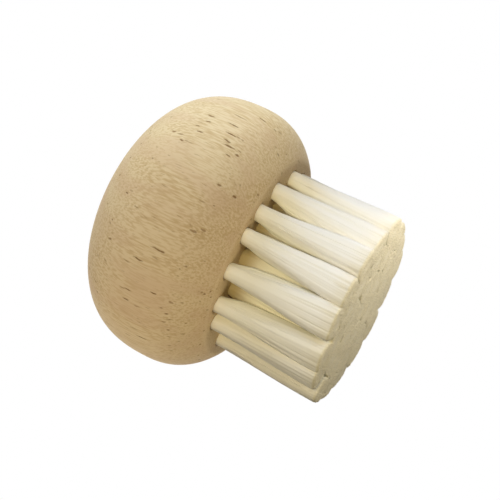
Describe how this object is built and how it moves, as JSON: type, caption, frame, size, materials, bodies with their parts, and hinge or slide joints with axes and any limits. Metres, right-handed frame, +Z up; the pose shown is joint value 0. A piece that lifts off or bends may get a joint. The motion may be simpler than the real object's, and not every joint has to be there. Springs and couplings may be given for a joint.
{
  "type": "beard brush",
  "caption": "Round palm brush: a domed, turned hardwood knob with a straight-sided field of staple-set nylon tufts, trimmed flat, for brushing a beard.",
  "frame": {"origin": "centre of the trimmed tips, on the plane the brush stands on", "axes": "+Z up the axis of turning, from the tips to the crown of the knob; the side that faces the picture is -Y"},
  "size_m": [0.057, 0.057, 0.0569],
  "materials": {
    "wood": "pale fine-pored hardwood, sanded and lightly oiled, satin",
    "filament": "ivory nylon filament, satin, cut ends",
    "staple_wire": "plain drawn wire"
  },
  "bodies": {
    "root": {"handle": "wood", "tuft_outer_01": "filament", "tuft_outer_02": "filament", "tuft_outer_03": "filament", "tuft_outer_04": "filament", "tuft_outer_05": "filament", "tuft_outer_06": "filament", "tuft_outer_07": "filament", "tuft_outer_08": "filament", "tuft_outer_09": "filament", "tuft_outer_10": "filament", "tuft_outer_11": "filament", "tuft_outer_12": "filament", "tuft_outer_13": "filament", "tuft_outer_14": "filament", "tuft_outer_15": "filament", "tuft_outer_16": "filament", "tuft_middle_01": "filament", "tuft_middle_02": "filament", "tuft_middle_03": "filament", "tuft_middle_04": "filament", "tuft_middle_05": "filament", "tuft_middle_06": "filament", "tuft_middle_07": "filament", "tuft_middle_08": "filament", "tuft_middle_09": "filament", "tuft_middle_10": "filament", "tuft_middle_11": "filament", "tuft_middle_12": "filament", "tuft_inner_01": "filament", "tuft_inner_02": "filament", "tuft_inner_03": "filament", "tuft_inner_04": "filament", "tuft_inner_05": "filament", "tuft_inner_06": "filament", "tuft_centre": "filament", "staples_outer": "staple_wire", "staples_middle": "staple_wire", "staples_inner": "staple_wire", "staple_centre": "staple_wire"}
  },
  "joints": []
}
